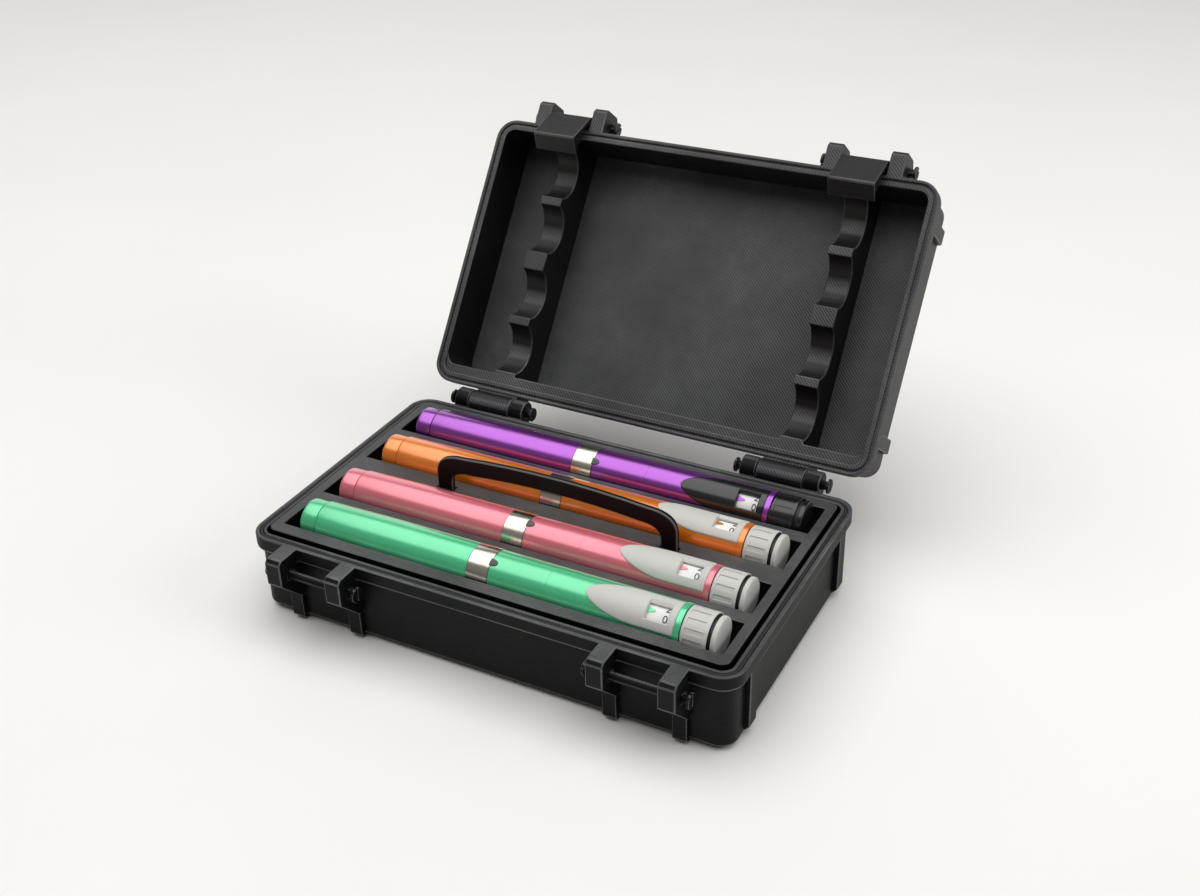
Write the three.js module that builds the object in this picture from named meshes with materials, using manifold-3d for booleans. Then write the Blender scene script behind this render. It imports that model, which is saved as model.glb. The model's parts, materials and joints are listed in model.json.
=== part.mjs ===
// A hinged hard case for four injection pens, standing open, with a lift-out pen tray and a cool pack below it.
// Millimetres, +Z up. The origin is the centre of the base's underside, +X runs along the pens towards their
// dials, and +Y points at the hinges.
import * as THREE from 'three';
import { mergeVertices } from 'three/addons/utils/BufferGeometryUtils.js';
import Module from 'manifold-3d';

const wasm = await Module();
wasm.setup();

// Clearances
const partGap = 0.3;
const seamGap = 0.1;

// Pens, measured along their axis from the cap's closed end
const capLength = 68.6;
const capRadius = 8.1;
const capWall = 1.1;
const capEndRadius = 7.3;
const capEndLength = 6.4;
const capGrooveWidth = 0.5;
const capGrooveDepth = 0.4;
const capTaper = 27;
const capEdge = 0.9;
const capEndWall = 3;
const ringLength = 8.2;
const ringRadius = 8.2;
const barrelLength = 69.1;
const barrelRadius = 8;
const barrelWall = 1;
const barrelNeckLength = 12;
const collarLength = 2;
const collarRadius = 8.2;
const coverRadius = 8.4;
const coverLength = 32;
const coverHalfWidth = 6.3;
const coverTaper = 17.6;
const coverTipSweep = 9.6;
const coverTipHalfWidth = 2.8;
const windowLength = 8.4;
const windowHalfWidth = 3.7;
const windowFromEnd = 2.2;
const drumWall = 0.7;
const drumLength = 20;
const dialLength = 7.7;
const dialRadius = 7.9;
const dialSlots = 12;
const dialSlotLength = 5.2;
const dialSlotWidth = 1.4;
const dialSlotDepth = 0.35;
const buttonGap = 2.3;
const buttonThickness = 1.8;
const buttonRadius = 7.3;
const buttonDome = 0.5;
const buttonTravel = 1.8;
const stemLength = 7;
const sleeveLength = 24;
const cartridgeRadius = 4.9;
const cartridgeLength = 68;
const cartridgeNeckRadius = 3.4;
const cartridgeNeckLength = 6;
const cartridgeShoulder = 1.5;
const rodRadius = 2;
const pens = [
  { name: 'green', row: -2, roll: 30, body: 0x48c78f, trim: 0xc6c6c2 },
  { name: 'pink', row: -1, roll: 18, body: 0xdd6f88, trim: 0xc6c6c2 },
  { name: 'orange', row: 1, roll: 4, body: 0xe8962e, trim: 0xc6c6c2 },
  { name: 'purple', row: 2, roll: 38, body: 0x9c45b5, trim: 0x26262a },
];

// Pen tray
const pocketGapAtCap = 5.6;
const pocketGapAtDial = 3.4;
const pocketSideGap = 0.45;
const pocketPlay = 0.1;
const pairBar = 5.6;
const centreBar = 9.7;
const trayEndBar = 3.5;
const traySideBar = 4.9;
const trayCorner = 3;
const trayFloor = 2.5;
const trayProud = 1;
const penSink = 1.5;
const handleSpan = 95.6;
const handleHeight = 16;
const handleShoulder = 14.2;
const handleLegHeight = 6;
const handleBand = 6.4;
const handleThickness = 2;
const handleFootDepth = 5;

// Cool pack
const packHeight = 15;
const packSideGap = 1.2;
const packTopGap = 1;
const packEdge = 2.5;
const packCorner = 9;
const plugRadius = 7;
const plugDepth = 3.5;

// Case
const trayGap = 1.3;
const rimFace = 4;
const rimCorner = 8;
const bandHeight = 5;
const wallSetBack = 2;
const lidHingeWall = 7.5;
const floorThickness = 3;
const ledgeWidth = 4;
const lidTop = 3;
const handleRoom = 5;
const edgeChamfer = 2.5;
const sealFromEdge = 1.5;
const sealGroove = 1.3;
const sealWidth = 0.9;
const sealHeight = 1.6;
const lidGrooveFromEdge = 1.3;
const lidGroove = 0.8;
const lidGrooveDepth = 0.9;
const endRibWidth = 5.5;
const endRibFromCorner = 15;
const ribFoot = 1;

// Scalloped pen holders in the lid
const holderThickness = 9.3;
const holderFromCavityEnd = 22.8;
const scallopRadius = 10;

// Hinges and latches share one layout: two ears with a wide knuckle or lever between them
const stationFromEnd = 30.9;
const earThickness = 6;
const earSpan = 18.6;
const earReach = 9.7;
const earNose = 10;
const earChamfer = 1.5;
const earRibInset = 0.5;
const knuckleRadius = 4.6;
const hingeBehind = 5.3;
const openAngle = 126.4;
const pinRadius = 1.6;
const pinNeck = 2.2;
const pinHeadRadius = 2.75;
const pinHead = 0.9;
const pinSlot = 0.8;
const pinSides = 12;
const latchReach = 4.1;
const latchLift = 8;
const leverRest = 49.5;
const leverBarrelRadius = 3.2;
const leverFace = 7;
const leverPlate = 1.6;
const leverStart = 4.4;
const leverWeb = 2.2;
const leverCheek = 3.4;
const leverEdge = 0.6;
const leverNose = 1.6;
const noseReach = 0.8;

// Sizes worked out from the ones above
const penLength = capLength + seamGap + ringLength + seamGap + barrelLength + partGap + dialLength + buttonGap
  + buttonThickness;
const pocketLength = pocketGapAtCap + penLength + pocketGapAtDial;
const pocketRadius = coverRadius + 0.5 * pocketSideGap;
const pocketWidth = 2 * pocketRadius;
const innerRow = 0.5 * (centreBar + pocketWidth);
const outerRow = innerRow + pairBar + pocketWidth;
const trayLength = pocketLength + 2 * trayEndBar;
const trayWidth = 2 * (outerRow + pocketRadius + traySideBar);
const cavityHalfX = 0.5 * trayLength + trayGap;
const cavityHalfY = 0.5 * trayWidth + trayGap;
const rimHalfX = cavityHalfX + rimFace;
const rimHalfY = cavityHalfY + rimFace;
const wallHalfX = rimHalfX - wallSetBack;
const wallHalfY = rimHalfY - wallSetBack;
const trayThickness = penSink - pocketPlay + pocketRadius + trayFloor;
const ledgeDepth = trayThickness - trayProud + partGap;
const baseHeight = floorThickness + partGap + packHeight + packTopGap + ledgeDepth;
const rimZ = baseHeight;
const trayTopZ = rimZ + trayProud;
const penZ = trayTopZ - penSink;
const lidRimZ = rimZ + partGap;
const ceilingZ = trayTopZ + handleHeight + handleRoom;
const lidTopZ = ceilingZ + lidTop;
const hingeY = rimHalfY + hingeBehind;
const hingeZ = rimZ + 0.5 * partGap;
const latchY = -(rimHalfY + latchReach);
const catchZ = rimZ - latchLift;
const latchZ = lidRimZ + latchLift;
const pinReach = latchZ - catchZ;
const stationX = rimHalfX - stationFromEnd;
const pinHole = pinRadius + partGap;
const bridge = 1;

const deg = THREE.MathUtils.degToRad;
const v2 = (a, b) => new THREE.Vector2(a, b);

// A closed three.js geometry as a solid that can be joined and cut
function solid(geometry) {
  const bare = geometry.clone();
  bare.deleteAttribute('normal');
  bare.deleteAttribute('uv');
  const welded = mergeVertices(bare, 1e-4);
  const index = welded.index.array;
  const triVerts = [];
  for (let i = 0; i < index.length; i += 3) {
    const [a, b, c] = [index[i], index[i + 1], index[i + 2]];
    if (a !== b && b !== c && c !== a) triVerts.push(a, b, c);
  }
  const vertProperties = new Float32Array(welded.attributes.position.array);
  const mesh = new wasm.Mesh({ numProp: 3, vertProperties, triVerts: new Uint32Array(triVerts) });
  return new wasm.Manifold(mesh);
}

const join = (...solids) => solids.reduce((a, b) => a.add(b));
const cut = (body, ...tools) => tools.reduce((a, b) => a.subtract(b), body);

function roundedRect(halfX, halfY, radius, centreY = 0) {
  const shape = new THREE.Shape();
  const x = halfX - radius;
  const y = halfY - radius;
  shape.absarc(x, centreY + y, radius, 0, 0.5 * Math.PI);
  shape.absarc(-x, centreY + y, radius, 0.5 * Math.PI, Math.PI);
  shape.absarc(-x, centreY - y, radius, Math.PI, 1.5 * Math.PI);
  shape.absarc(x, centreY - y, radius, 1.5 * Math.PI, 2 * Math.PI);
  shape.closePath();
  return shape;
}

// An upright prism between two heights, with the same chamfer at both ends
function prism(shape, z0, z1, chamfer = 0, curveSegments = 4) {
  const geometry = new THREE.ExtrudeGeometry(shape, {
    depth: z1 - z0 - 2 * chamfer,
    bevelEnabled: chamfer > 0,
    bevelThickness: chamfer,
    bevelSize: chamfer,
    bevelOffset: -chamfer,
    bevelSegments: 1,
    curveSegments,
  });
  return solid(geometry.translate(0, 0, z0 + chamfer));
}

// A profile of (y, z) points or a shape, drawn out along X between two places
function bar(profile, x0, x1, curveSegments = 5) {
  const shape = Array.isArray(profile) ? new THREE.Shape(profile) : profile;
  const geometry = new THREE.ExtrudeGeometry(shape, { depth: x1 - x0, bevelEnabled: false, curveSegments });
  const turn = new THREE.Matrix4().makeBasis(
    new THREE.Vector3(0, 1, 0), new THREE.Vector3(0, 0, 1), new THREE.Vector3(1, 0, 0));
  return solid(geometry.applyMatrix4(turn).translate(x0, 0, 0));
}

function block(x0, x1, y0, y1, z0, z1) {
  const geometry = new THREE.BoxGeometry(x1 - x0, y1 - y0, z1 - z0);
  return solid(geometry.translate(0.5 * (x0 + x1), 0.5 * (y0 + y1), 0.5 * (z0 + z1)));
}

function rod(radius, x0, x1, y = 0, z = 0, segments = 16) {
  const geometry = new THREE.CylinderGeometry(radius, radius, x1 - x0, segments);
  return solid(geometry.rotateZ(-0.5 * Math.PI).translate(0.5 * (x0 + x1), y, z));
}

// A turned piece about the X axis from [radius, x] points
function turned(points, segments = 16) {
  const geometry = new THREE.LatheGeometry(points.map(([r, x]) => v2(r, x)), segments);
  return solid(geometry.rotateZ(-0.5 * Math.PI));
}

const part = new THREE.Group();

function add(parent, name, body, look) {
  const { vertProperties, triVerts } = body.getMesh();
  const geometry = new THREE.BufferGeometry();
  geometry.setAttribute('position', new THREE.BufferAttribute(new Float32Array(vertProperties), 3));
  geometry.setIndex(new THREE.BufferAttribute(new Uint32Array(triVerts), 1));
  geometry.computeVertexNormals();
  const mesh = new THREE.Mesh(geometry, new THREE.MeshStandardMaterial(look));
  mesh.name = name;
  parent.add(mesh);
  return mesh;
}

const looks = {
  printed: { color: 0x1e1f22, roughness: 0.62, metalness: 0 },
  seal: { color: 0x0e0e10, roughness: 0.8, metalness: 0 },
  handle: { color: 0x241d1c, roughness: 0.7, metalness: 0 },
  steel: { color: 0xb9b4aa, roughness: 0.25, metalness: 1 },
  pack: { color: 0x7fa9c9, roughness: 0.5, metalness: 0 },
  drum: { color: 0xf1f0ee, roughness: 0.5, metalness: 0 },
  glass: { color: 0xcfdde0, roughness: 0.1, metalness: 0 },
  sleeve: { color: 0x1a1a1c, roughness: 0.5, metalness: 0 },
};

// The ears at a hinge or latch, as x ranges: inner ear, middle, outer ear
function stations(side) {
  const inner = 0.5 * earSpan;
  const outer = inner + earThickness;
  const centre = side * stationX;
  return {
    ears: [[centre - outer, centre - inner], [centre + inner, centre + outer]],
    middle: [centre - inner + partGap, centre + inner - partGap],
    ends: [centre - outer, centre + outer],
  };
}

// A latch ear seen from the side: level at the rim, a chamfered front, then a slope back under to the wall.
// away is +1 for the lid, whose ears rise from its rim, and -1 for the base, whose ears go down from its rim.
function earProfile(rim, away) {
  const root = -(wallHalfY - bridge);
  const band = -rimHalfY;
  const front = band - earReach;
  const slopeEnd = earNose + earReach;
  const at = (y, depth) => v2(y, rim + away * depth);
  const points = [
    at(root, 0), at(front + earChamfer, 0), at(front, earChamfer), at(front, earNose), at(band, slopeEnd),
    at(root, slopeEnd),
  ];
  return away < 0 ? points : points.reverse();
}

// The rib that carries an ear down the wall, a little narrower than the ear and flush with the rim band
function earRibProfile(rim, away, ribEnd) {
  const root = -(wallHalfY - bridge);
  const end = ribEnd - ribFoot;
  const at = (y, depth) => v2(y, rim + away * depth);
  const points = [
    at(root, bandHeight), at(-rimHalfY, bandHeight), at(-rimHalfY, end - ribFoot),
    at(-rimHalfY + ribFoot, end), at(root, end),
  ];
  return away < 0 ? points : points.reverse();
}

// Both ears of one latch with their ribs
function latchEars(ears, rim, away, ribEnd) {
  return ears.flatMap(([x0, x1]) => [
    bar(earProfile(rim, away), x0, x1),
    bar(earRibProfile(rim, away, ribEnd), x0 + earRibInset, x1 - earRibInset),
  ]);
}

// A hinge arm seen from the side: from the knuckle's tangent back to the wall.
function hingeArm(z, away) {
  const root = wallHalfY - bridge;
  const slope = knuckleRadius * Math.SQRT1_2;
  const points = [
    v2(root, z + away * partGap),
    v2(hingeY, z + away * partGap),
    v2(hingeY + slope, hingeZ + away * slope),
    v2(root, hingeZ + away * (slope + hingeY + slope - root)),
  ];
  return away > 0 ? points : points.reverse();
}

// Ribs on the two end walls, flush with the rim band and sloped off to the wall at their far end
function endRibs(rim, away, ribEnd) {
  const centre = rimHalfY - endRibFromCorner;
  const at = (x, depth) => v2(x, rim + away * depth);
  const points = [
    at(wallHalfX - bridge, 0), at(rimHalfX, 0), at(rimHalfX, ribEnd - wallSetBack), at(wallHalfX, ribEnd),
    at(wallHalfX - bridge, ribEnd),
  ];
  const half = 0.5 * endRibWidth;
  const shape = new THREE.Shape(away > 0 ? points : points.reverse());
  const right = prism(shape, -half, half).rotate([90, 0, 0]);
  const pair = join(right, right.mirror([1, 0, 0]));
  return [pair.translate([0, centre, 0]), pair.translate([0, -centre, 0])];
}

// The rim band with its chamfered far edge, and the wall set back from it, in one outer form
function caseOuter(rim, end) {
  const away = Math.sign(end - rim);
  const low = Math.min(rim, end);
  const high = Math.max(rim, end);
  const wallEnds = away > 0 ? [low - edgeChamfer, high] : [low, high + edgeChamfer];
  const wall = prism(roundedRect(wallHalfX, wallHalfY, rimCorner - wallSetBack), ...wallEnds, edgeChamfer);
  const reach = bandHeight + wallSetBack;
  const band = prism(roundedRect(rimHalfX, rimHalfY, rimCorner), rim - reach, rim + reach, wallSetBack);
  const ribs = endRibs(rim, away, high - low - edgeChamfer);
  const keep = block(-2 * rimHalfX, 2 * rimHalfX, -2 * rimHalfY, 2 * rimHalfY, low, high);
  return join(wall, band, ...ribs).intersect(keep);
}

function frameRing(outerInset, width, z0, z1) {
  const outline = (inset) => roundedRect(rimHalfX - inset, rimHalfY - inset, rimCorner - inset);
  return cut(prism(outline(outerInset), z0, z1), prism(outline(outerInset + width), z0 - bridge, z1 + bridge));
}

// A pin with a slotted neck and a flange at each end, lying along X through two ears
function splitPin(ends) {
  const [x0, x1] = [ends[0] - pinNeck, ends[1] + pinNeck];
  const pin = turned([
    [0, x0 - pinHead], [pinHeadRadius, x0 - pinHead], [pinHeadRadius, x0], [pinRadius, x0],
    [pinRadius, x1], [pinHeadRadius, x1], [pinHeadRadius, x1 + pinHead], [0, x1 + pinHead],
  ], pinSides);
  const half = 0.5 * pinSlot;
  const wide = 2 * pinHeadRadius;
  const slot = (a, b) => block(a, b, -half, half, -wide, wide);
  return cut(pin, slot(x0 - pinHead - bridge, x0 + pinNeck), slot(x1 - pinNeck, x1 + pinHead + bridge));
}

// Base: outer form, latch ears and hinge knuckles, then the tray seat, the pack's space and the seal groove
function baseShell() {
  const extras = [];
  const holes = [];
  for (const side of [-1, 1]) {
    const { ears, ends } = stations(side);
    extras.push(...latchEars(ears, rimZ, -1, baseHeight));
    for (const [x0, x1] of ears) {
      extras.push(bar(hingeArm(rimZ, -1), x0, x1), rod(knuckleRadius, x0, x1, hingeY, hingeZ));
    }
    holes.push(rod(pinHole, ends[0] - bridge, ends[1] + bridge, latchY, catchZ, pinSides));
    holes.push(rod(pinHole, ends[0] - bridge, ends[1] + bridge, hingeY, hingeZ, pinSides));
  }
  const seat = roundedRect(cavityHalfX, cavityHalfY, rimCorner - rimFace);
  const well = roundedRect(cavityHalfX - ledgeWidth, cavityHalfY - ledgeWidth, rimCorner - rimFace);
  return cut(
    join(caseOuter(rimZ, 0), ...extras),
    prism(seat, rimZ - ledgeDepth, rimZ + bridge),
    prism(well, floorThickness, rimZ),
    frameRing(sealFromEdge, sealGroove, rimZ - sealHeight - 2 * partGap, rimZ + bridge),
    ...holes,
  );
}

// Lid, drawn closed: outer form, ears, knuckles, cavity, pen holders and the thin line around its rim. The thick
// wall on the hinge side stops short of the tray, which stands a little proud of the base's rim.
function lidShell() {
  const extras = [];
  const holes = [];
  for (const side of [-1, 1]) {
    const { ears, middle, ends } = stations(side);
    extras.push(...latchEars(ears, lidRimZ, 1, lidTopZ - lidRimZ));
    extras.push(bar(hingeArm(lidRimZ, 1), ...middle), rod(knuckleRadius, ...middle, hingeY, hingeZ));
    holes.push(rod(pinHole, ends[0] - bridge, ends[1] + bridge, latchY, latchZ, pinSides));
    holes.push(rod(pinHole, ends[0] - bridge, ends[1] + bridge, hingeY, hingeZ, pinSides));
  }
  const backY = rimHalfY - lidHingeWall;
  const cavity = roundedRect(
    cavityHalfX, 0.5 * (backY + cavityHalfY), rimCorner - rimFace, 0.5 * (backY - cavityHalfY));
  const shell = cut(
    join(caseOuter(lidRimZ, lidTopZ), ...extras),
    prism(cavity, lidRimZ - bridge, ceilingZ),
    prism(roundedRect(cavityHalfX, cavityHalfY, rimCorner - rimFace), lidRimZ - bridge, trayTopZ + partGap),
    frameRing(lidGrooveFromEdge, lidGroove, lidRimZ - bridge, lidRimZ + lidGrooveDepth),
    ...holes,
  );
  return join(shell, ...[-1, 1].map((side) => penHolder(side, backY)));
}

// One scalloped rib that holds the four pens down when the lid is shut
function penHolder(side, backY) {
  const outer = side * (cavityHalfX - holderFromCavityEnd);
  const [x0, x1] = [outer - side * holderThickness, outer].sort((a, b) => a - b);
  const rib = block(x0, x1, -cavityHalfY - bridge, backY + bridge, trayTopZ + partGap, ceilingZ + bridge);
  const scallops = pens.map(({ row }) => rod(scallopRadius, x0 - bridge, x1 + bridge, rowY(row), penZ, 24));
  return cut(rib, ...scallops);
}

function rowY(row) {
  return Math.sign(row) * (Math.abs(row) > 1 ? outerRow : innerRow);
}

// A latch lever hanging from its pin at the origin: barrel, sloped web, face plate, and the nose that goes under
// the catch pin. Its side view is drawn as distances out from the pin and down from it.
function leverBody(width) {
  const inner = leverFace - leverPlate;
  const noseTop = pinReach + pinRadius + 1.5 * partGap;
  const end = noseTop + leverNose;
  const cheek = pinRadius + 1.5 * partGap;
  const tangent = leverBarrelRadius * 0.8;
  const side = [
    [tangent, -0.75 * tangent], [leverFace, leverStart], [leverFace, end - leverEdge],
    [leverFace - leverEdge, end], [-noseReach, end], [-noseReach, noseTop], [cheek, noseTop],
    [cheek, noseTop - leverCheek],
    [inner, noseTop - 2 * leverCheek], [inner, leverStart + leverWeb], [0, leverBarrelRadius],
  ];
  const [x0, x1] = [-0.5 * width, 0.5 * width];
  const web = bar(side.map(([out, down]) => v2(-out, -down)), x0, x1);
  return cut(join(web, rod(leverBarrelRadius, x0, x1)), rod(pinHole, x0 - bridge, x1 + bridge, 0, 0, pinSides));
}

function tray() {
  const slab = prism(
    roundedRect(0.5 * trayLength, 0.5 * trayWidth, trayCorner), trayTopZ - trayThickness, trayTopZ);
  const pockets = pens.map(({ row }) => {
    const y = rowY(row);
    const z = penZ + pocketPlay;
    const trough = new THREE.Shape();
    trough.moveTo(y + pocketRadius, trayTopZ + bridge);
    trough.lineTo(y - pocketRadius, trayTopZ + bridge);
    trough.absarc(y, z, pocketRadius, Math.PI, 2 * Math.PI);
    trough.closePath();
    return bar(trough, -0.5 * pocketLength, 0.5 * pocketLength, 10);
  });
  const half = 0.5 * handleThickness + partGap;
  const feet = [-1, 1].map((side) => {
    const outer = side * (0.5 * handleSpan + partGap);
    const inner = side * (0.5 * handleSpan - handleBand - partGap);
    const [x0, x1] = [inner, outer].sort((a, b) => a - b);
    return block(x0, x1, -half, half, trayTopZ - handleFootDepth - partGap, trayTopZ + bridge);
  });
  return cut(slab, ...pockets, ...feet);
}

// The arched carrying handle, cut from flat sheet, with a foot at each end let into the tray's centre bar
function handle() {
  const out = 0.5 * handleSpan;
  const inside = out - handleBand;
  const lift = handleShoulder - handleLegHeight;
  const shape = new THREE.Shape();
  shape.moveTo(-out, -handleFootDepth);
  shape.lineTo(-inside, -handleFootDepth);
  shape.lineTo(-inside, handleLegHeight - 0.5 * handleBand);
  shape.quadraticCurveTo(-inside, handleShoulder - handleBand, -inside + lift, handleShoulder - handleBand);
  shape.quadraticCurveTo(0, 2 * (handleHeight - handleBand) - (handleShoulder - handleBand),
    inside - lift, handleShoulder - handleBand);
  shape.quadraticCurveTo(inside, handleShoulder - handleBand, inside, handleLegHeight - 0.5 * handleBand);
  shape.lineTo(inside, -handleFootDepth);
  shape.lineTo(out, -handleFootDepth);
  shape.lineTo(out, handleLegHeight);
  shape.quadraticCurveTo(out, handleShoulder, out - lift - 0.5 * handleBand, handleShoulder);
  shape.quadraticCurveTo(0, 2 * handleHeight - handleShoulder,
    -out + lift + 0.5 * handleBand, handleShoulder);
  shape.quadraticCurveTo(-out, handleShoulder, -out, handleLegHeight);
  shape.closePath();
  const sheet = prism(shape, -0.5 * handleThickness, 0.5 * handleThickness, 0, 8);
  return sheet.rotate([90, 0, 0]).translate([0, 0, trayTopZ]);
}

function coolPack() {
  const halfX = cavityHalfX - ledgeWidth - packSideGap;
  const halfY = cavityHalfY - ledgeWidth - packSideGap;
  const z0 = floorThickness + partGap;
  const z1 = z0 + packHeight;
  const plugX = halfX - packCorner - plugRadius;
  const well = new THREE.CylinderGeometry(plugRadius + partGap, plugRadius + partGap, plugDepth + bridge, 16);
  const plug = new THREE.CylinderGeometry(plugRadius, plugRadius, plugDepth - partGap, 16);
  const place = (geometry, z) => solid(geometry.rotateX(0.5 * Math.PI).translate(plugX, 0, z));
  return {
    pack: cut(
      prism(roundedRect(halfX, halfY, packCorner), z0, z1, packEdge),
      place(well, z1 - 0.5 * (plugDepth - bridge))),
    plug: place(plug, z1 - 0.5 * (plugDepth - partGap)),
  };
}

// One pen about the X axis, with its scale window up
function penPieces() {
  const start = -0.5 * pocketLength + pocketGapAtCap;
  const capEnd = start + capLength;
  const ringStart = capEnd + seamGap;
  const ringEnd = ringStart + ringLength;
  const barrelStart = ringEnd + seamGap;
  const barrelEnd = barrelStart + barrelLength;
  const dialStart = barrelEnd + partGap;
  const dialEnd = dialStart + dialLength;
  const buttonStart = dialEnd + buttonGap;
  const buttonEnd = buttonStart + buttonThickness;
  const capBore = capRadius - capWall;
  const neckRadius = capBore - partGap;
  const barrelBore = barrelRadius - barrelWall;
  const drumRadius = barrelBore - partGap;
  const drumBore = drumRadius - drumWall;
  const sleeveRadius = drumBore - partGap;
  const sleeveBore = rodRadius + partGap;
  const cartridgeBore = cartridgeRadius + partGap;
  const neckStart = barrelStart - barrelNeckLength;
  const seatEnd = barrelStart + capEndLength;
  const grooveX = start + capEndLength;

  const capFloor = start + capEndWall;
  const cap = turned([
    [0, start], [capEndRadius - capEdge, start], [capEndRadius, start + capEdge], [capEndRadius, grooveX],
    [capEndRadius - capGrooveDepth, grooveX], [capEndRadius - capGrooveDepth, grooveX + capGrooveWidth],
    [capRadius - capGrooveDepth, grooveX + 2 * capGrooveWidth], [capRadius, grooveX + capTaper],
    [capRadius, capEnd], [capBore, capEnd], [capBore - capGrooveDepth, capFloor], [0, capFloor],
  ]);
  const ring = turned([
    [capBore, ringStart], [ringRadius, ringStart], [ringRadius, ringEnd], [capBore, ringEnd],
    [capBore, ringStart],
  ]);

  const coverShape = (grow) => {
    const w = coverHalfWidth + grow;
    const end = barrelEnd - collarLength + grow;
    const tip = barrelEnd - collarLength - coverLength - grow;
    const shoulder = tip + coverTaper;
    const sweep = shoulder - coverTipSweep;
    const shape = new THREE.Shape();
    shape.moveTo(end, -w);
    shape.lineTo(end, w);
    shape.lineTo(shoulder, w);
    shape.bezierCurveTo(sweep, w, tip, coverTipHalfWidth, tip, 0);
    shape.bezierCurveTo(tip, -coverTipHalfWidth, sweep, -w, shoulder, -w);
    shape.closePath();
    return shape;
  };
  const coverOutline = (grow) => prism(coverShape(grow), 0, 2 * coverRadius, 0, 7);
  const barrel = cut(turned([
    [cartridgeBore, neckStart], [neckRadius, neckStart], [neckRadius, barrelStart],
    [barrelRadius, barrelStart], [barrelRadius, barrelEnd - collarLength],
    [collarRadius, barrelEnd - collarLength + seamGap], [collarRadius, barrelEnd], [barrelBore, barrelEnd],
    [barrelBore, seatEnd], [cartridgeBore, seatEnd], [cartridgeBore, neckStart],
  ]), coverOutline(seamGap));
  const windowEnd = barrelEnd - collarLength - windowFromEnd;
  const coverTube = turned([
    [barrelBore, neckStart], [coverRadius, neckStart], [coverRadius, barrelEnd], [barrelBore, barrelEnd],
    [barrelBore, neckStart],
  ], 24);
  const cover = cut(
    coverTube.intersect(coverOutline(0)),
    block(windowEnd - windowLength, windowEnd, -windowHalfWidth, windowHalfWidth, 0, 2 * coverRadius));

  const drum = turned([
    [drumBore, barrelEnd - drumLength], [drumRadius, barrelEnd - drumLength], [drumRadius, barrelEnd],
    [drumBore, barrelEnd], [drumBore, barrelEnd - drumLength],
  ]);

  const skirtRadius = buttonRadius - 2 * partGap;
  const skirtBore = skirtRadius + partGap;
  const recess = dialEnd - buttonTravel - 3 * partGap;
  const dialRing = turned([
    [drumBore, dialStart], [dialRadius, dialStart], [dialRadius, dialEnd], [skirtBore, dialEnd],
    [skirtBore, recess], [drumBore, recess], [drumBore, dialStart],
  ]);
  const slotMiddle = 0.5 * (dialStart + dialEnd);
  const slots = Array.from({ length: dialSlots }, (_, i) => {
    const groove = new THREE.BoxGeometry(dialSlotLength, dialSlotWidth, 2 * dialSlotDepth);
    groove.translate(slotMiddle, 0, dialRadius).rotateX((2 * Math.PI * (i + 0.5)) / dialSlots);
    return solid(groove);
  });

  const sleeveEnd = recess - partGap;
  const sleeveStart = sleeveEnd - sleeveLength;
  const sleeve = turned([
    [sleeveBore, sleeveStart], [sleeveRadius, sleeveStart], [sleeveRadius, sleeveEnd], [sleeveBore, sleeveEnd],
    [sleeveBore, sleeveStart],
  ], 10);
  const skirtStart = recess + buttonTravel + partGap;
  const stemStart = sleeveEnd - stemLength;
  const button = turned([
    [0, stemStart], [rodRadius, stemStart], [rodRadius, skirtStart],
    [skirtRadius, skirtStart], [skirtRadius, buttonStart], [buttonRadius, buttonStart],
    [buttonRadius, buttonEnd - buttonDome], [buttonRadius - buttonDome, buttonEnd - 0.4 * buttonDome],
    [0, buttonEnd],
  ]);

  const cartridgeEnd = seatEnd - partGap;
  const cartridgeStart = cartridgeEnd - cartridgeLength;
  const cartridge = turned([
    [0, cartridgeStart], [cartridgeNeckRadius, cartridgeStart],
    [cartridgeNeckRadius, cartridgeStart + cartridgeNeckLength],
    [cartridgeRadius, cartridgeStart + cartridgeNeckLength + cartridgeShoulder],
    [cartridgeRadius, cartridgeEnd], [0, cartridgeEnd],
  ], 10);
  const pistonRod = rod(rodRadius, cartridgeEnd + partGap, stemStart - buttonTravel - partGap, 0, 0, 8);
  const dial = cut(dialRing, ...slots);
  return { cap, ring, barrel, cover, drum, dial, sleeve, button, cartridge, pistonRod };
}

add(part, 'base_shell', baseShell(), looks.printed);
const sealInset = sealFromEdge + 0.5 * (sealGroove - sealWidth);
const sealTop = rimZ - partGap;
add(part, 'base_seal', frameRing(sealInset, sealWidth, sealTop - sealHeight, sealTop), looks.seal);
add(part, 'pen_tray', tray(), looks.printed);
add(part, 'tray_handle', handle(), looks.handle);
const { pack, plug } = coolPack();
add(part, 'cool_pack', pack, looks.pack);
add(part, 'cool_pack_plug', plug, looks.pack);

// The lid and its latches hang from the hinge axis and are turned open about it
const lid = new THREE.Group();
lid.position.set(0, hingeY, hingeZ);
lid.rotation.x = -deg(openAngle);
part.add(lid);
add(lid, 'lid_shell', lidShell().translate([0, -hingeY, -hingeZ]), looks.printed);

for (const side of [-1, 1]) {
  const hand = side < 0 ? 'left' : 'right';
  const { middle, ends } = stations(side);
  const pin = splitPin(ends);
  add(part, `hinge_pin_${hand}`, pin.translate([0, hingeY, hingeZ]), looks.printed);
  add(part, `catch_pin_${hand}`, pin.translate([0, latchY, catchZ]), looks.printed);
  const latch = new THREE.Group();
  latch.position.set(0, latchY - hingeY, latchZ - hingeZ);
  latch.rotation.x = deg(leverRest);
  lid.add(latch);
  add(latch, `latch_pin_${hand}`, pin, looks.printed);
  const lever = leverBody(middle[1] - middle[0]).translate([0.5 * (middle[0] + middle[1]), 0, 0]);
  add(latch, `latch_lever_${hand}`, lever, looks.printed);
}

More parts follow.
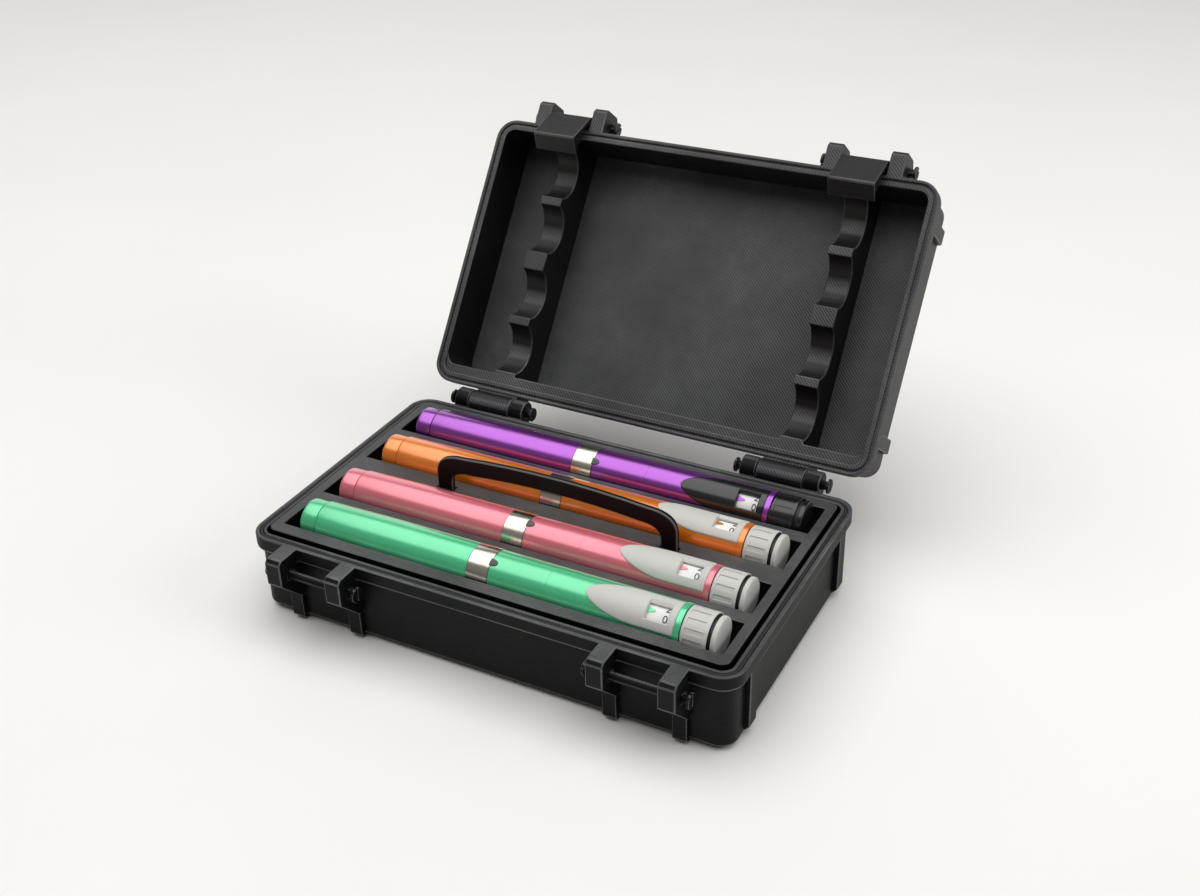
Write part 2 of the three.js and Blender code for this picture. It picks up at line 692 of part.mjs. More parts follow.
// Four pens, each rolled a little differently in its pocket
const pieces = penPieces();
for (const { name, row, roll, body, trim } of pens) {
  const pen = new THREE.Group();
  pen.position.set(0, rowY(row), penZ);
  pen.rotation.x = deg(roll);
  part.add(pen);
  const metal = { color: body, roughness: 0.3, metalness: 0.6 };
  const plastic = { color: trim, roughness: 0.45, metalness: 0 };
  add(pen, `${name}_cap`, pieces.cap, metal);
  add(pen, `${name}_cap_ring`, pieces.ring, looks.steel);
  add(pen, `${name}_barrel`, pieces.barrel, metal);
  add(pen, `${name}_scale_cover`, pieces.cover, plastic);
  add(pen, `${name}_dose_drum`, pieces.drum, looks.drum);
  add(pen, `${name}_dial`, pieces.dial, plastic);
  add(pen, `${name}_sleeve`, pieces.sleeve, looks.sleeve);
  add(pen, `${name}_button`, pieces.button, plastic);
  add(pen, `${name}_cartridge`, pieces.cartridge, looks.glass);
  add(pen, `${name}_piston_rod`, pieces.pistonRod, looks.sleeve);
}

export default part;
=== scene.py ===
import json
import math

import bmesh
import bpy
import numpy as np
from mathutils import Matrix, Vector

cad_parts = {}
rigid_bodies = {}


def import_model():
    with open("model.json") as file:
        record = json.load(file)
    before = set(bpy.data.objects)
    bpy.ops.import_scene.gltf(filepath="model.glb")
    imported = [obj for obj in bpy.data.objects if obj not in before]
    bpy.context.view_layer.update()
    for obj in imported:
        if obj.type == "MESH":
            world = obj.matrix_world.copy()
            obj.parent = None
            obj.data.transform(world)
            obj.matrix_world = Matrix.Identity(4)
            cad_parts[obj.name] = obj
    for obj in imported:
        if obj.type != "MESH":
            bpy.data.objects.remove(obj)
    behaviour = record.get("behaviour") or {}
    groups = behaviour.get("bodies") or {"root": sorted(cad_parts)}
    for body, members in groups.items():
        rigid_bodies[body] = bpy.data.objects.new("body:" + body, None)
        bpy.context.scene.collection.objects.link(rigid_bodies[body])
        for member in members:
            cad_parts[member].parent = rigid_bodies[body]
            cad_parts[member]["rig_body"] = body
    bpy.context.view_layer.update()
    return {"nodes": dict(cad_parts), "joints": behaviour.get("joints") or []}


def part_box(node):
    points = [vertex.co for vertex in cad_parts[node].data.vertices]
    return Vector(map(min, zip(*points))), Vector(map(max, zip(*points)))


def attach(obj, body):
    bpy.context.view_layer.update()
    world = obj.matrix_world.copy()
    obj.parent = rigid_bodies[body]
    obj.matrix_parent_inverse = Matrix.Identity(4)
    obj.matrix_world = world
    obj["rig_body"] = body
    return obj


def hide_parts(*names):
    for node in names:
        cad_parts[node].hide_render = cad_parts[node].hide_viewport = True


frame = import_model()
nodes = frame["nodes"]
scene = bpy.context.scene
mm = 0.001
print("frame loaded:", len(nodes), "nodes")


# Colours and nodes

def linear(hexColour):
    # sRGB to linear: a straight line in the darks, a power of 2.4 above them
    srgb = np.array([int(hexColour[i:i + 2], 16) for i in (1, 3, 5)]) / 255
    low = srgb / 12.92
    high = ((srgb + 0.055) / 1.055) ** 2.4
    return (*np.where(srgb <= 0.04045, low, high).tolist(), 1.0)


def addNode(tree, kind, inputs=None, **settings):
    node = tree.nodes.new("ShaderNode" + kind)
    for name, value in settings.items():
        setattr(node, name, value)
    for name, value in (inputs or {}).items():
        if isinstance(value, bpy.types.NodeSocket):
            tree.links.new(value, node.inputs[name])
        else:
            node.inputs[name].default_value = value
    return node


def newMaterial(name):
    material = bpy.data.materials.new(name)
    material.use_nodes = True
    return material, material.node_tree, material.node_tree.nodes["Principled BSDF"]


def bands(period):
    return math.pi / 10 / period     # Wave texture scale that repeats every period metres


def setMaterial(obj, material):
    obj.data.materials.clear()
    obj.data.materials.append(material)


# Meshes

welding = {"doubles": 2e-7, "empty": 1e-7}      # metres


def unitRows(v):
    return v / np.maximum(np.linalg.norm(v, axis=1, keepdims=True), 1e-9)


def softProfile(points, cuts, steps=4):
    # each corner P is cut back along both its sides, to A and B, and the curve
    # (1-t)^2 A + 2t(1-t) P + t^2 B takes its place; the two ends stay sharp
    p = np.array(points, float)
    cut = np.broadcast_to(np.array(cuts, float), len(p)).copy()
    cut[[0, -1]] = 0
    before = np.roll(p, 1, 0) - p
    after = np.roll(p, -1, 0) - p
    a = p + unitRows(before) * cut[:, None]
    b = p + unitRows(after) * cut[:, None]
    t = np.linspace(0, 1, steps + 1)[None, :, None]
    curve = (1 - t) ** 2 * a[:, None] + 2 * t * (1 - t) * p[:, None] + t ** 2 * b[:, None]
    return curve.reshape(-1, 2)


def gridMesh(name, points, wrap=False, drop=None, sharp=35):
    # points is rows by columns by xyz; drop marks the cells that stay open
    rows, columns = points.shape[:2]
    index = np.arange(rows * columns).reshape(rows, columns)
    if wrap:
        index = np.concatenate([index, index[:, :1]], 1)
    quads = np.stack([index[:-1, :-1], index[1:, :-1], index[1:, 1:], index[:-1, 1:]], -1)
    quads = quads[~drop] if drop is not None else quads.reshape(-1, 4)
    mesh = bpy.data.meshes.new(name)
    mesh.from_pydata(points.reshape(-1, 3).tolist(), [], quads.tolist())
    return finishMesh(name, mesh, sharp)


def finishMesh(name, mesh, sharp):
    # doubles merged and empty faces dropped, smooth but for edges that turn by more than sharp degrees
    work = bmesh.new()
    work.from_mesh(mesh)
    bmesh.ops.remove_doubles(work, verts=work.verts, dist=welding["doubles"])
    bmesh.ops.dissolve_degenerate(work, edges=work.edges, dist=welding["empty"])
    work.to_mesh(mesh)
    work.free()
    mesh.polygons.foreach_set("use_smooth", np.ones(len(mesh.polygons), bool))
    mesh.set_sharp_from_angle(angle=math.radians(sharp))
    obj = bpy.data.objects.new(name, mesh)
    scene.collection.objects.link(obj)
    return obj


worn = {
    "weld": 0.2 * mm,       # corners nearer than this are one corner
    "empty": 1e-6,          # metres; faces thinner than this are dropped
    "flatAngle": 0.6,       # degrees; faces that turn by less are one flat
    "sharpAngle": 30,       # degrees; edges that turn by more get a round
    "roundAngle": 60,       # degrees; inside a round the shading breaks only past this
    "room": 0.45,           # a round is no wider than this share of the shortest edge that meets it
    "segments": 2,
}


def softened(node, edge, material, edgeHighlightMaterial):
    # the node's own solid, welded, with its flats cut afresh and a small worn round on its outward edges,
    # which takes a lighter material as a painted edge highlight
    mesh = nodes[node].data.copy()
    work = bmesh.new()
    work.from_mesh(mesh)
    bmesh.ops.remove_doubles(work, verts=work.verts, dist=worn["weld"])
    bmesh.ops.dissolve_degenerate(work, edges=work.edges, dist=worn["empty"])
    flat = math.radians(worn["flatAngle"])
    bmesh.ops.dissolve_limit(work, angle_limit=flat, verts=work.verts, edges=work.edges)
    bmesh.ops.triangulate(work, faces=work.faces)
    sharp = math.radians(worn["sharpAngle"])
    outward = np.array([e.is_convex and e.calc_face_angle(0) > sharp for e in work.edges])
    work.to_mesh(mesh)
    work.free()
    ends = np.zeros(2 * len(mesh.edges), np.int32)
    mesh.edges.foreach_get("vertices", ends)
    co = np.zeros(3 * len(mesh.vertices))
    mesh.vertices.foreach_get("co", co)
    span = co.reshape(-1, 3)[ends.reshape(-1, 2)]
    length = np.linalg.norm(span[:, 0] - span[:, 1], axis=1)
    room = np.full(len(mesh.vertices), 1.0)
    np.minimum.at(room, ends, np.repeat(length, 2))
    weight = outward * np.clip(worn["room"] * room[ends].reshape(-1, 2).min(1) / edge, 0, 1)
    mesh.attributes.new("bevel_weight_edge", "FLOAT", "EDGE").data.foreach_set("value", weight)
    obj = bpy.data.objects.new("print_" + node, mesh)
    scene.collection.objects.link(obj)
    setMaterial(obj, material)
    mesh.materials.append(edgeHighlightMaterial)
    bevel = obj.modifiers.new("edge", "BEVEL")
    bevel.width = edge
    bevel.segments = worn["segments"]
    bevel.limit_method = "WEIGHT"
    bevel.use_clamp_overlap = False
    bevel.loop_slide = False
    # the round takes the second material, a painted edge highlight
    bevel.material = 1
    obj.data = bpy.data.meshes.new_from_object(obj.evaluated_get(bpy.context.evaluated_depsgraph_get()))
    obj.modifiers.clear()
    # flats keep their own normals: the shading breaks at sharp edges and where a round begins
    work = bmesh.new()
    work.from_mesh(obj.data)
    turn = np.array([e.calc_face_angle(math.pi) for e in work.edges])
    rounds = np.array([sum(f.material_index for f in e.link_faces) for e in work.edges])
    work.free()
    creased = (rounds == 1) | (turn > np.where(rounds == 2, math.radians(worn["roundAngle"]), sharp))
    obj.data.polygons.foreach_set("use_smooth", np.ones(len(obj.data.polygons), bool))
    obj.data.attributes.new("sharp_edge", "BOOLEAN", "EDGE").data.foreach_set("value", creased)
    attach(obj, nodes[node]["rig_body"])
    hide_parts(node)
    return obj


# Materials

printed = {
    "layer": 0.7 * mm,      # real layers are 0.2 mm, drawn coarser so that they show
    "hatch": 0.95 * mm,     # top skin lines, drawn twice as wide as the 0.45 mm nozzle lays them
    "mottle": 7 * mm,
    "cloud": 40 * mm,       # large patches over a whole face where the lighter tone is stronger, a painted reflection
    "relief": 0.2 * mm,
}


def printedPlastic(name, valley, crest, skin, tilt=0.0, wallGloss=0.6):
    # PETG from a filament printer: black, level layer lines on the walls, slanting skin lines on flat tops;
    # the crests of the lines are a lighter tone, much lighter on flat tops as a painted sheen
    material, tree, shader = newMaterial(name)
    coords = addNode(tree, "TexCoord")
    place = addNode(tree, "Mapping", {"Vector": coords.outputs["Object"], "Rotation": (tilt, 0, 0)})
    facing = addNode(tree, "Mapping", {"Vector": coords.outputs["Normal"], "Rotation": (tilt, 0, 0)},
                     vector_type="NORMAL")
    up = addNode(tree, "SeparateXYZ", {"Vector": facing.outputs[0]})
    level = addNode(tree, "Math", {0: up.outputs["Z"]}, operation="ABSOLUTE")
    flat = addNode(tree, "MapRange", {"Value": level.outputs[0], "From Min": 0.94, "From Max": 0.985})
    stack = addNode(tree, "Mapping", {"Vector": place.outputs[0], "Scale": (0.02, 0.02, 1)})
    layers = addNode(tree, "TexNoise", {"Vector": stack.outputs[0], "Scale": 1 / printed["layer"],
                                        "Detail": 1.0})
    slant = addNode(tree, "Mapping", {"Vector": place.outputs[0], "Rotation": (0, 0, math.radians(45))})
    hatch = addNode(tree, "TexWave", {"Vector": slant.outputs[0], "Scale": bands(printed["hatch"]),
                                      "Distortion": 0.5, "Detail": 1.0, "Detail Scale": 0.5},
                    bands_direction="X")
    skinLines = addNode(tree, "MapRange", {"Value": hatch.outputs["Fac"], "To Min": 0.22, "To Max": 0.82})
    lines = addNode(tree, "Mix", {"Factor": flat.outputs[0], "A": layers.outputs["Fac"],
                                  "B": skinLines.outputs[0]})
    # large patches where the lighter tone is stronger: a painted reflection at random places
    cloud = addNode(tree, "TexNoise", {"Vector": place.outputs[0], "Scale": 1 / printed["cloud"],
                                       "Detail": 2.0})
    reflectionPatches = addNode(tree, "MapRange", {"Value": cloud.outputs["Fac"], "From Min": 0.35, "From Max": 0.65,
                                         "To Min": 0.35, "To Max": 1.3})
    mottle = addNode(tree, "TexNoise", {"Vector": place.outputs[0], "Scale": 1 / printed["mottle"],
                                        "Detail": 5.0, "Roughness": 0.65})
    fresh = addNode(tree, "Math", {0: lines.outputs[0], 1: mottle.outputs["Fac"]}, operation="MULTIPLY")
    linesAndSheen = addNode(tree, "Math", {0: fresh.outputs[0], 1: reflectionPatches.outputs[0]}, operation="MULTIPLY")
    # walls take the crest tone; flat tops take the skin tone, the skin lines' own pattern lightened as a
    # painted sheen
    crestOrFlatSheen = addNode(tree, "Mix", {"Factor": flat.outputs[0], "A": linear(crest), "B": linear(skin)},
                      data_type="RGBA")
    colour = addNode(tree, "Mix", {"Factor": linesAndSheen.outputs[0], "A": linear(valley), "B": crestOrFlatSheen.outputs[2]},
                     data_type="RGBA")
    rough = addNode(tree, "MapRange", {"Value": mottle.outputs["Fac"], "To Min": 0.42, "To Max": 0.58})
    gloss = addNode(tree, "MapRange", {"Value": flat.outputs[0], "To Min": wallGloss, "To Max": 0.7})
    strength = addNode(tree, "MapRange", {"Value": flat.outputs[0], "To Min": 0.45, "To Max": 0.6})
    bump = addNode(tree, "Bump", {"Height": lines.outputs[0], "Distance": printed["relief"],
                                  "Strength": strength.outputs[0]})
    tree.links.new(colour.outputs[2], shader.inputs["Base Color"])
    tree.links.new(rough.outputs[0], shader.inputs["Roughness"])
    tree.links.new(gloss.outputs[0], shader.inputs["Specular IOR Level"])
    tree.links.new(bump.outputs[0], shader.inputs["Normal"])
    shader.inputs["IOR"].default_value = 1.5
    return material


metal = {"turning": 0.5 * mm, "brushing": 0.25 * mm, "cloud": 9 * mm, "relief": 0.01 * mm}


def anodised(name, hexColour, metallic):
    # anodised aluminium: dyed satin metal with very fine turning marks round the tube
    material, tree, shader = newMaterial(name)
    coords = addNode(tree, "TexCoord")
    along = addNode(tree, "Mapping", {"Vector": coords.outputs["Object"], "Scale": (1, 0.02, 0.02)})
    marks = addNode(tree, "TexNoise", {"Vector": along.outputs[0], "Scale": 1 / metal["turning"],
                                       "Detail": 2.0})
    cloud = addNode(tree, "TexNoise", {"Vector": coords.outputs["Object"], "Scale": 1 / metal["cloud"]})
    rough = addNode(tree, "MapRange", {"Value": marks.outputs["Fac"], "To Min": 0.27, "To Max": 0.29})
    deep = [c * 0.86 for c in linear(hexColour)[:3]] + [1]
    colour = addNode(tree, "Mix", {"Factor": cloud.outputs["Fac"], "A": linear(hexColour), "B": deep},
                     data_type="RGBA")
    bump = addNode(tree, "Bump", {"Height": marks.outputs["Fac"], "Distance": metal["relief"],
                                  "Strength": 0.01})
    tree.links.new(colour.outputs[2], shader.inputs["Base Color"])
    tree.links.new(rough.outputs[0], shader.inputs["Roughness"])
    tree.links.new(bump.outputs[0], shader.inputs["Normal"])
    shader.inputs["Metallic"].default_value = metallic
    shader.inputs["Coat Weight"].default_value = 0.85
    shader.inputs["Coat IOR"].default_value = 1.7
    shader.inputs["Coat Roughness"].default_value = 0.2
    return material


def brushedNickel(name):
    # nickel plate, brushed round the ring: long fine scratches that stretch the highlights
    material, tree, shader = newMaterial(name)
    coords = addNode(tree, "TexCoord")
    along = addNode(tree, "Mapping", {"Vector": coords.outputs["Object"], "Scale": (1, 0.03, 0.03)})
    marks = addNode(tree, "TexNoise", {"Vector": along.outputs[0], "Scale": 1 / metal["brushing"],
                                       "Detail": 3.0})
    rough = addNode(tree, "MapRange", {"Value": marks.outputs["Fac"], "To Min": 0.16, "To Max": 0.3})
    colour = addNode(tree, "Mix", {"Factor": marks.outputs["Fac"], "A": linear("#d8d2c6"),
                                   "B": linear("#bfb8aa")}, data_type="RGBA")
    bump = addNode(tree, "Bump", {"Height": marks.outputs["Fac"], "Distance": metal["relief"],
                                  "Strength": 0.4})
    tree.links.new(colour.outputs[2], shader.inputs["Base Color"])
    tree.links.new(rough.outputs[0], shader.inputs["Roughness"])
    tree.links.new(bump.outputs[0], shader.inputs["Normal"])
    shader.inputs["Metallic"].default_value = 1.0
    return material


moulded = {"cloud": 12 * mm}


def mouldedPlastic(name, hexColour, roughness, grain=0.35 * mm, depth=0.012 * mm, gloss=0.5):
    # moulded ABS with the fine spark-eroded grain of its mould
    material, tree, shader = newMaterial(name)
    coords = addNode(tree, "TexCoord")
    texture = addNode(tree, "TexNoise", {"Vector": coords.outputs["Object"], "Scale": 1 / grain,
                                         "Detail": 2.0})
    cloud = addNode(tree, "TexNoise", {"Vector": coords.outputs["Object"], "Scale": 1 / moulded["cloud"],
                                       "Detail": 3.0})
    shade = [c * 0.9 for c in linear(hexColour)[:3]] + [1]
    colour = addNode(tree, "Mix", {"Factor": cloud.outputs["Fac"], "A": linear(hexColour), "B": shade},
                     data_type="RGBA")
    rough = addNode(tree, "MapRange", {"Value": texture.outputs["Fac"], "To Min": roughness - 0.05,
                                       "To Max": roughness + 0.07})
    bump = addNode(tree, "Bump", {"Height": texture.outputs["Fac"], "Distance": depth, "Strength": 0.5})
    tree.links.new(colour.outputs[2], shader.inputs["Base Color"])
    tree.links.new(rough.outputs[0], shader.inputs["Roughness"])
    tree.links.new(bump.outputs[0], shader.inputs["Normal"])
    shader.inputs["IOR"].default_value = 1.53
    shader.inputs["Specular IOR Level"].default_value = gloss
    return material


glass = {"marks": 4 * mm}


def clearGlass(name):
    # borosilicate cartridge with a faint cloud of handling marks
    material, tree, shader = newMaterial(name)
    coords = addNode(tree, "TexCoord")
    marks = addNode(tree, "TexNoise", {"Vector": coords.outputs["Object"], "Scale": 1 / glass["marks"],
                                       "Detail": 3.0})
    rough = addNode(tree, "MapRange", {"Value": marks.outputs["Fac"], "To Min": 0.02, "To Max": 0.12})
    tree.links.new(rough.outputs[0], shader.inputs["Roughness"])
    shader.inputs["Base Color"].default_value = linear("#e3eef0")
    shader.inputs["Transmission Weight"].default_value = 0.9
    shader.inputs["IOR"].default_value = 1.47
    return material


# the lid's layers are level when it is shut, so at rest they lean by the whole travel of its hinge
lidHinge = next(joint for joint in frame["joints"] if joint["name"] == "lid_hinge")
openAngle = math.radians(-lidHinge["range_deg"][0])
# the last tone, for flat tops, is light as a painted sheen
basePrint = printedPlastic("blackPetgPrintLevel", "#040506", "#0f1011", "#686969", wallGloss=0.16)
lidPrint = printedPlastic("blackPetgPrintTilted", "#040506", "#0f1011", "#636465", openAngle, wallGloss=0.4)
# the edge materials' light tones are a painted highlight along the rounds
baseEdgeHighlight = printedPlastic("paintedEdgeHighlightLevel", "#1c1d1f", "#7c7d7e", "#8a8b8c")
lidEdgeHighlight = printedPlastic("paintedEdgeHighlightTilted", "#1c1d1f", "#7c7d7e", "#8a8b8c", openAngle)
handlePrint = mouldedPlastic("warmBlackPlastic", "#080605", 0.5, grain=0.6 * mm, depth=0.03 * mm, gloss=0.15)
# the handle's edge tone is a painted highlight along its round
handleEdgeHighlight = mouldedPlastic("paintedHandleEdgeHighlight", "#5a5450", 0.5, grain=0.6 * mm, depth=0.03 * mm)
sealRubber = mouldedPlastic("sealRubber", "#131315", 0.75)
nickel = brushedNickel("brushedNickel")
greyAbs = mouldedPlastic("warmGreyAbs", "#c9c8c3", 0.42)
blackAbs = mouldedPlastic("blackAbs", "#141417", 0.2, gloss=0.6)
gapRubber = mouldedPlastic("blackRingRubber", "#121214", 0.5)
whiteAbs = mouldedPlastic("whiteDrumAbs", "#f2f1ee", 0.5)
numeralInk = mouldedPlastic("numeralInk", "#303034", 0.6)
tabGrey = mouldedPlastic("darkGreyTab", "#4c4d50", 0.5)
packSkin = mouldedPlastic("packPolythene", "#8fb6d2", 0.3, grain=2 * mm, depth=0.05 * mm)
cartridgeGlass = clearGlass("cartridgeGlass")
print("materials ready")


# Case, tray and latches: the printed solids, each with the width of its worn round

baseEdges = {
    "base_shell": 0.42 * mm,
    "pen_tray": 0.3 * mm,
    "catch_pin_left": 0.12 * mm,
    "catch_pin_right": 0.12 * mm,
    "hinge_pin_left": 0.12 * mm,
    "hinge_pin_right": 0.12 * mm,
}
lidEdges = {
    "lid_shell": 0.42 * mm,
    "latch_pin_left": 0.12 * mm,
    "latch_pin_right": 0.12 * mm,
    "latch_lever_left": 0.3 * mm,
    "latch_lever_right": 0.3 * mm,
}
handleRound = 0.5 * mm
for name, edge in baseEdges.items():
    softened(name, edge, basePrint, baseEdgeHighlight)
for name, edge in lidEdges.items():
    softened(name, edge, lidPrint, lidEdgeHighlight)
softened("tray_handle", handleRound, handlePrint, handleEdgeHighlight)
setMaterial(nodes["base_seal"], sealRubber)
setMaterial(nodes["cool_pack"], packSkin)
setMaterial(nodes["cool_pack_plug"], packSkin)
print("case dressed")


# Pens, drawn along X about their own axis with the window up, then rolled and set in their rows

def span(node, axis):
    # where a solid begins and ends along an axis, in millimetres to the nearest micron
    low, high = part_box(node)
    return round(low[axis] / mm, 3), round(high[axis] / mm, 3)


pen = {
    "rolls": {"green": 30, "pink": 18, "orange": 4, "purple": 38},
    "colours": {"green": "#4fd193", "pink": "#ec7788", "orange": "#f5861c", "purple": "#983cb0"},
    "metallic": {"green": 0.35, "pink": 0.4, "orange": 0.4, "purple": 0.85},
    "barrelRadius": 8.0, "coverRadius": 8.4, "drumRadius": 6.7,
    "windowFromCollar": 10.6, "windowLength": 8.4, "windowHalf": 3.7,
    "buttonThick": 1.8,
    "dialLip": 1.2,         # the dial runs on past its solid, so that the pressed button sinks into it
}
# the four pens are alike along X, so the green one's solids give the places for all
pen["rows"] = {colour: 0.5 * sum(span(colour + "_barrel", 1)) for colour in pen["rolls"]}
pen["axisHeight"] = 0.5 * sum(span("green_barrel", 2))
pen["capStart"], pen["capEnd"] = span("green_cap", 0)
pen["ringStart"], pen["ringEnd"] = span("green_cap_ring", 0)
pen["coverTip"], pen["collar"] = span("green_scale_cover", 0)
pen["windowStart"] = pen["collar"] - pen["windowFromCollar"]
pen["windowEnd"] = pen["windowStart"] + pen["windowLength"]
pen["barrelEnd"] = span("green_barrel", 0)[1]
pen["dialEnd"] = span("green_dial", 0)[1] + pen["dialLip"]
pen["buttonEnd"] = span("green_button", 0)[1]
pen["buttonStart"] = pen["buttonEnd"] - pen["buttonThick"]
around = np.linspace(0, 2 * np.pi, 96, endpoint=False)


def wrapped(x, radius, angle):
    # a point at x along the pen, radius from its axis, angle from the window towards the hinge side
    x, radius, angle = np.broadcast_arrays(x, radius, angle)
    return np.stack([x, radius * np.sin(angle), radius * np.cos(angle)], -1)


def setInRow(points, colour):
    # a turn about the pen's axis by its roll, then a move to its row
    roll = math.radians(pen["rolls"][colour])
    x, y, z = np.moveaxis(points, -1, 0)
    turnedY = y * math.cos(roll) - z * math.sin(roll) + pen["rows"][colour]
    turnedZ = y * math.sin(roll) + z * math.cos(roll) + pen["axisHeight"]
    return np.stack([x, turnedY, turnedZ], -1) * mm


def turnedPiece(name, colour, profile, cuts):
    # a profile of x and radius, its corners rounded, turned once about the pen's axis
    outline = softProfile(profile, cuts)
    points = wrapped(outline[:, :1], outline[:, 1:], around[None])
    return gridMesh(f"{colour}_{name}_form", setInRow(points, colour), wrap=True)


def tubeProfile(start, end, bore, radius):
    return [(start, bore), (start, radius), (end, radius), (end, bore), (start, bore)]


cap = {
    "endRadius": 7.3, "groove": 6.4, "grooveRadius": 6.85, "grooveWidth": 0.45,
    "shoulderRadius": 7.75, "taper": 27, "radius": 8.1,
    "bore": 7.0, "endBore": 6.6, "endWall": 3,
    "cuts": (0, 0.9, 0.15, 0.05, 0.05, 0.3, 3, 0.12, 0.05, 0, 0),
}


def capPiece(colour):
    # a round end, a fine groove, a shoulder and a slow taper up to full width, hollow from the ring's side
    s, e, r = pen["capStart"], pen["capEnd"], cap["radius"]
    groove, inside = s + cap["groove"], s + cap["endWall"]
    shoulder = groove + cap["grooveWidth"]
    return turnedPiece("cap", colour, [
        (s, 0), (s, cap["endRadius"]), (groove, cap["endRadius"]), (groove, cap["grooveRadius"]),
        (shoulder, cap["grooveRadius"]), (shoulder, cap["shoulderRadius"]),
        (groove + cap["taper"], r), (e, r), (e, cap["bore"]), (inside, cap["endBore"]), (inside, 0),
    ], cap["cuts"])


ring = {"bore": 7.0, "radius": 8.2, "cuts": (0, 0.15, 0.15, 0.05, 0)}


def ringPiece(colour):
    profile = tubeProfile(pen["ringStart"], pen["ringEnd"], ring["bore"], ring["radius"])
    return turnedPiece("ring", colour, profile, ring["cuts"])


barrel = {
    "gap": 0.1, "bore": 7.0, "mouthBore": 6.7, "mouthTaper": 3,
    "seam": 21, "seamHalf": 0.06, "seamDepth": 0.05,
    "collarStep": 0.1, "collarRise": 0.2, "windowRoom": 0.1,
    "cuts": (0, 0.12, 0, 0, 0, 0, 0, 0.05, 0.12, 0.15, 0.05, 0, 0, 0, 0),
}


def barrelPiece(colour):
    # a tube with a hair seam and a raised collar, left open where the dose window is
    b, c, e, r = pen["ringEnd"] + barrel["gap"], pen["collar"], pen["barrelEnd"], pen["barrelRadius"]
    bore, mouth, seam, room = (barrel[k] for k in ("bore", "mouthBore", "seamHalf", "windowRoom"))
    s = b + barrel["seam"]
    w0, w1 = pen["windowStart"] - room, pen["windowEnd"] + room
    raised = r + barrel["collarRise"]
    outline = softProfile([
        (b, mouth), (b, r), (s, r), (s + seam, r - barrel["seamDepth"]), (s + 2 * seam, r),
        (w0, r), (w1, r), (c, r), (c + barrel["collarStep"], raised), (e, raised),
        (e, bore), (w1, bore), (w0, bore), (b + barrel["mouthTaper"], bore), (b, mouth),
    ], barrel["cuts"])
    half = math.asin((pen["windowHalf"] + room) / r)
    angles = np.sort(np.concatenate([around, [half, 2 * np.pi - half]]))
    points = wrapped(outline[:, :1], outline[:, 1:], angles[None])
    middleX = 0.5 * (outline[1:, 0] + outline[:-1, 0])
    middleA = 0.5 * (angles + np.append(angles[1:], 2 * np.pi + angles[0]))
    inX = (middleX > w0) & (middleX < w1)
    inA = np.cos(middleA) > math.cos(half)
    drop = inX[:, None] & inA[None]
    return gridMesh(f"{colour}_barrel_form", setInRow(points, colour), wrap=True, drop=drop)


cover = {
    "sweep": 8, "tipWidth": 2.8, "half": 6.3,
    "shoulder": 14.4,       # before the collar, where the sides begin to run straight
    "roll": 0.5, "sunk": 0.06, "endGap": 0.05,
    "endRows": (1.2, 0.6, 0.4, 0.25, 0.12, 0.04, 0),            # millimetres before the end
    "rimColumns": (0.92, 0.95, 0.97, 0.985, 0.995, 1),          # shares of the half width
}


def coverOutline(count=26):
    # half width of the scale cover along its length: a Bezier tip, then straight sides
    tip, shoulder, full = pen["coverTip"], pen["collar"] - cover["shoulder"], cover["half"]
    t = np.linspace(0, 1, count) ** 1.3
    x = tip + 3 * (1 - t) * t ** 2 * cover["sweep"] + t ** 3 * (shoulder - tip)
    half = 3 * (1 - t) ** 2 * t * cover["tipWidth"] + 3 * (1 - t) * t ** 2 * full + t ** 3 * full
    end = pen["collar"] - cover["endGap"]
    straight = np.concatenate([
        np.linspace(shoulder, pen["windowStart"], 5)[1:],
        np.linspace(pen["windowStart"], pen["windowEnd"], 9)[1:],
        end - np.array(cover["endRows"])])
    return np.append(x, straight), np.append(half, np.full(len(straight), full))


def coverPiece(colour):
    # the outline wrapped on the barrel: its rim rolls down over a quarter circle, its window is left open
    x, half = coverOutline()
    w = pen["windowHalf"] / cover["half"]
    side = np.concatenate([np.linspace(0, w, 7), np.linspace(w, 0.88, 5)[1:], cover["rimColumns"]])
    across = np.concatenate([-side[:0:-1], side])
    reach = half[:, None] * across[None]
    toRim = np.minimum(half[:, None] * (1 - np.abs(across))[None], (x[-1] - x)[:, None])
    rise = np.sqrt(1 - (1 - np.clip(toRim / cover["roll"], 0, 1)) ** 2)
    foot = pen["barrelRadius"] - cover["sunk"]
    radius = foot + (pen["coverRadius"] - foot) * rise
    points = wrapped(x[:, None], radius, np.arcsin(np.clip(reach / pen["coverRadius"], -1, 1)))
    middleX = 0.5 * (x[1:] + x[:-1])
    middleV = 0.5 * (across[1:] + across[:-1])
    inX = (middleX > pen["windowStart"]) & (middleX < pen["windowEnd"])
    drop = inX[:, None] & (np.abs(middleV) < w)[None]
    return gridMesh(f"{colour}_cover_form", setInRow(points, colour), drop=drop, sharp=50)


recess = {
    "lip": 0.15, "capSide": 0.3, "dialSide": 0.5, "front": 0.25, "back": 1.1,
    "radii": (8.4, 8.3, 7.55, 6.95),     # from the cover's skin down to the drum
    "perSide": 8,
}


def rectangle(x0, x1, y0, y1):
    # points round a rectangle, evenly spaced along each side
    n = recess["perSide"]
    t = np.linspace(0, 1, n + 1)[:-1]
    return np.concatenate([
        np.stack([x0 + (x1 - x0) * t, np.full(n, y0)], -1),
        np.stack([np.full(n, x1), y0 + (y1 - y0) * t], -1),
        np.stack([x1 + (x0 - x1) * t, np.full(n, y1)], -1),
        np.stack([np.full(n, x0), y1 + (y0 - y1) * t], -1)])


